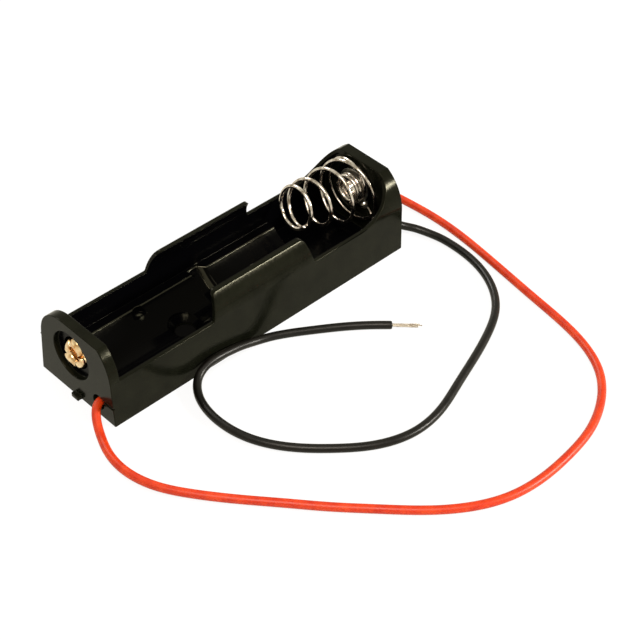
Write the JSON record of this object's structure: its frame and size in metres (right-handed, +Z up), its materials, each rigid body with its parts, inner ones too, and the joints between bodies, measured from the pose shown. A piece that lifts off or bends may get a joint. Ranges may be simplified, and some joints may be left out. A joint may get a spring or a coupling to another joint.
{
  "type": "cylindrical cell holder",
  "caption": "Open moulded holder for a cylindrical cell, with snap cheeks, a conical coil spring, a riveted button contact and two soldered wire leads.",
  "frame": {"origin": "middle of the underside, on the surface that the holder stands on or is screwed to", "axes": "+X along the cell towards the spring, +Y across, +Z up out of the open side"},
  "size_m": [0.0728, 0.0644, 0.0137],
  "materials": {
    "black_moulding": "satin moulded",
    "nickel": "bright nickel plate",
    "tinned_steel": "tin plate",
    "solder": "bright solder",
    "red_pvc": "extruded, glossy",
    "black_pvc": "extruded, satin",
    "tinned_strands": "tinned strands"
  },
  "bodies": {
    "root": {"tray": "black_moulding", "positive_rivet": "nickel", "positive_tag": "tinned_steel", "positive_solder": "solder", "negative_spring": "nickel", "negative_eyelet": "nickel", "negative_tag": "tinned_steel", "negative_solder": "solder", "red_lead": "red_pvc", "red_inner_strands": "tinned_strands", "red_bare_end": "tinned_strands", "black_lead": "black_pvc", "black_inner_strands": "tinned_strands", "black_bare_end": "tinned_strands"}
  },
  "joints": []
}
